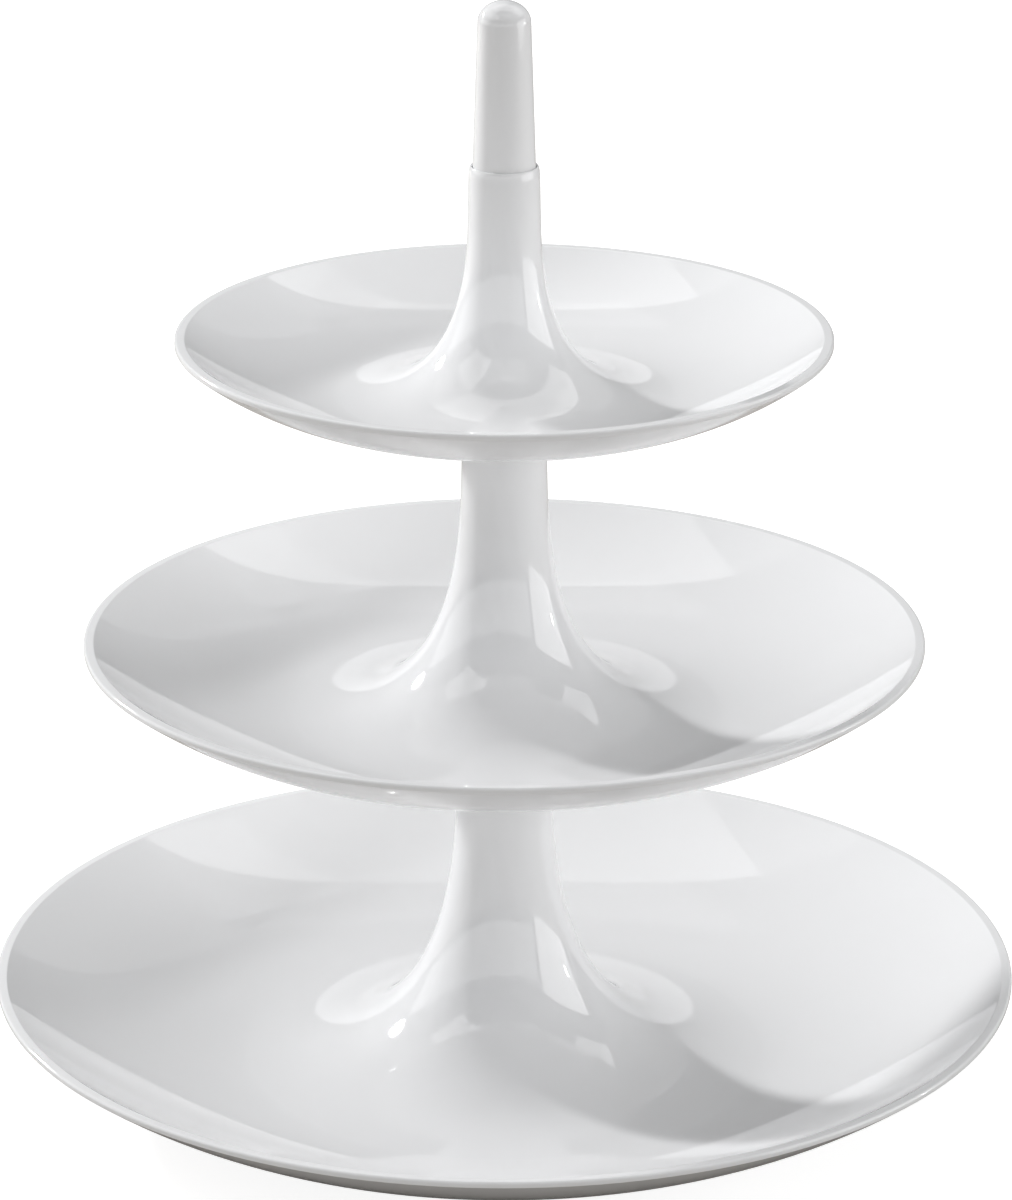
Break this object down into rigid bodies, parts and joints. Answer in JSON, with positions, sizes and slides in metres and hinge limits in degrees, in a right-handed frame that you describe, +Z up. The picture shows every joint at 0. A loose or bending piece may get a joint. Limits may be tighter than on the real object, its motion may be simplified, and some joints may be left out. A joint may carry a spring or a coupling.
{
  "type": "tiered cake stand",
  "caption": "Round tiered serving stand: shallow dished trays on hollow trumpet-shaped columns that push together, with a slim domed handle on top.",
  "frame": {"origin": "middle of the flat ring under the bottom tray that the stand rests on", "axes": "+Z up along the common axis of the trays and the handle; X and Y are level and equal, because every piece is round"},
  "size_m": [0.316, 0.316, 0.3392],
  "materials": {
    "tray_plastic": "polished moulded white plastic, mirror gloss",
    "handle_plastic": "polished moulded white plastic, a little softer from handling"
  },
  "bodies": {
    "base": {"bottom_tray": "tray_plastic"},
    "middle_tier": {"middle_tray": "tray_plastic"},
    "top_tier": {"top_tray": "tray_plastic"},
    "grip": {"handle": "handle_plastic"}
  },
  "joints": [
    {"name": "middle_tray_lift", "type": "slide", "parent": "base", "child": "middle_tier", "axis": [0, 0, 1], "range_m": [0, 0.09]},
    {"name": "top_tray_lift", "type": "slide", "parent": "middle_tier", "child": "top_tier", "axis": [0, 0, 1], "range_m": [0, 0.06]},
    {"name": "handle_pull", "type": "slide", "parent": "top_tier", "child": "grip", "axis": [0, 0, 1], "range_m": [0, 0.03]}
  ]
}
